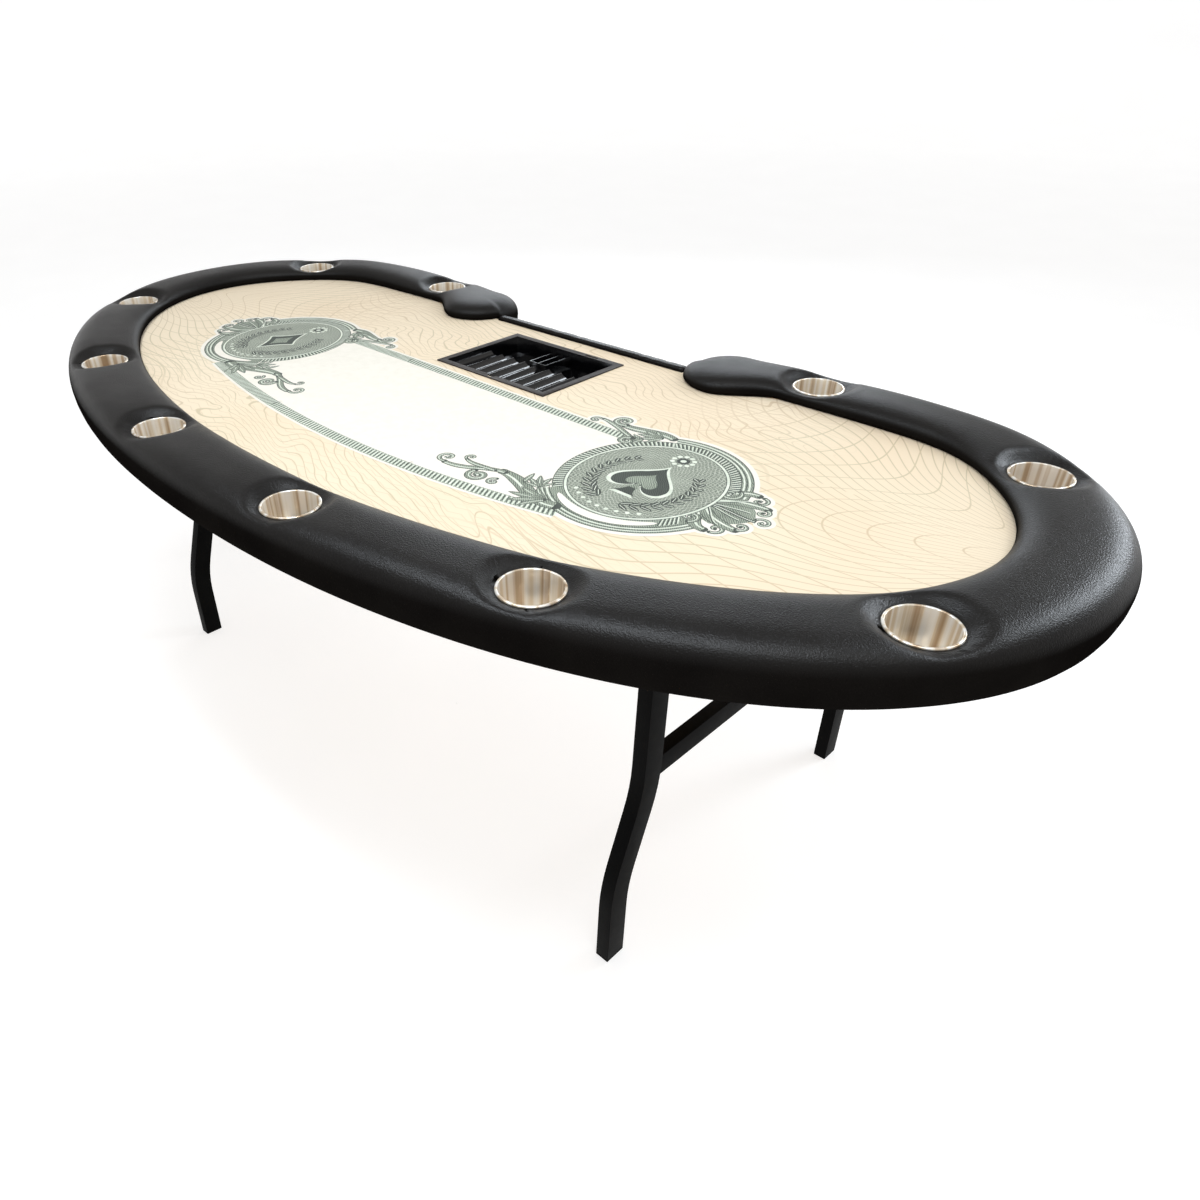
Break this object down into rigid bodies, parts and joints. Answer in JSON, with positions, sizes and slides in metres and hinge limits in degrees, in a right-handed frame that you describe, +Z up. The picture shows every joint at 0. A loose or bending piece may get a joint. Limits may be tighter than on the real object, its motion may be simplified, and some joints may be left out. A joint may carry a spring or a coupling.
{
  "type": "poker table",
  "caption": "Oval folding poker table with a padded rail, drop-in cup holders, a dealer cut-out with a chip tray, a printed cloth and two pairs of folding legs.",
  "frame": {"origin": "on the floor, under the middle of the whole table's box", "axes": "+X along the table, +Y towards the dealer's side, +Z up"},
  "size_m": [2.2118, 1.051, 0.764],
  "materials": {
    "vinyl": "black upholstery vinyl, soft grain, low satin",
    "printed_cloth": "smooth printed card cloth, matt",
    "padding": "grey foam sheet",
    "plywood": "bare birch plywood",
    "polished_steel": "spun and polished stainless steel",
    "tray_plastic": "satin black-brown moulding",
    "leg_paint": "satin black powder coat",
    "zinc_steel": "zinc plated",
    "rubber": "matt black"
  },
  "bodies": {
    "table_top": {"deck_board": "plywood", "edge_stiffener": "plywood", "rail_core": "plywood", "foam_underlay": "padding", "playing_cloth": "printed_cloth", "rail_cushion": "vinyl", "dealer_trim": "vinyl", "cup_holder_1": "polished_steel", "cup_holder_2": "polished_steel", "cup_holder_3": "polished_steel", "cup_holder_4": "polished_steel", "cup_holder_5": "polished_steel", "cup_holder_6": "polished_steel", "cup_holder_7": "polished_steel", "cup_holder_8": "polished_steel", "cup_holder_9": "polished_steel", "cup_holder_10": "polished_steel", "right_cross_batten": "plywood", "right_front_hinge_bracket": "zinc_steel", "right_back_hinge_bracket": "zinc_steel", "right_stay_bracket": "zinc_steel", "left_cross_batten": "plywood", "left_front_hinge_bracket": "zinc_steel", "left_back_hinge_bracket": "zinc_steel", "left_stay_bracket": "zinc_steel"},
    "chip_tray": {"chip_tray": "tray_plastic", "card_divider": "tray_plastic"},
    "right_legs": {"right_front_leg": "leg_paint", "right_back_leg": "leg_paint", "right_front_foot_cap": "rubber", "right_back_foot_cap": "rubber", "right_pivot_bar": "zinc_steel", "right_leg_crossbar": "leg_paint", "right_stay_lug": "leg_paint"},
    "right_upper_stay": {"right_upper_stay": "zinc_steel"},
    "right_lower_stay": {"right_lower_stay": "zinc_steel"},
    "left_legs": {"left_front_leg": "leg_paint", "left_back_leg": "leg_paint", "left_front_foot_cap": "rubber", "left_back_foot_cap": "rubber", "left_pivot_bar": "zinc_steel", "left_leg_crossbar": "leg_paint", "left_stay_lug": "leg_paint"},
    "left_upper_stay": {"left_upper_stay": "zinc_steel"},
    "left_lower_stay": {"left_lower_stay": "zinc_steel"}
  },
  "joints": [
    {"name": "chip_tray_lift", "type": "slide", "parent": "table_top", "child": "chip_tray", "axis": [0, 0, 1], "range_m": [0, 0.06]},
    {"name": "right_leg_fold", "type": "hinge", "parent": "table_top", "child": "right_legs", "pos_m": [0.668, 0.09651, 0.655], "axis": [0, 1, 0], "range_deg": [0, 90]},
    {"name": "right_upper_stay_swing", "type": "hinge", "parent": "table_top", "child": "right_upper_stay", "pos_m": [0.218, 0.09651, 0.668], "axis": [0, -1, 0], "range_deg": [0, 36.6]},
    {"name": "right_lower_stay_swing", "type": "hinge", "parent": "right_legs", "child": "right_lower_stay", "pos_m": [0.647, 0.09651, 0.38], "axis": [0, 1, 0], "range_deg": [0, 53.6]},
    {"name": "left_leg_fold", "type": "hinge", "parent": "table_top", "child": "left_legs", "pos_m": [-0.668, 0.09651, 0.655], "axis": [0, -1, 0], "range_deg": [0, 90]},
    {"name": "left_upper_stay_swing", "type": "hinge", "parent": "table_top", "child": "left_upper_stay", "pos_m": [-0.218, 0.09651, 0.668], "axis": [0, 1, 0], "range_deg": [0, 36.6]},
    {"name": "left_lower_stay_swing", "type": "hinge", "parent": "left_legs", "child": "left_lower_stay", "pos_m": [-0.647, 0.09651, 0.38], "axis": [0, -1, 0], "range_deg": [0, 53.6]}
  ],
  "couplings": [
    {"joint": "right_upper_stay_swing", "follows": "right_leg_fold", "ratio": 0.40547},
    {"joint": "right_lower_stay_swing", "follows": "right_leg_fold", "ratio": 0.59453},
    {"joint": "left_upper_stay_swing", "follows": "left_leg_fold", "ratio": 0.40547},
    {"joint": "left_lower_stay_swing", "follows": "left_leg_fold", "ratio": 0.59453}
  ]
}
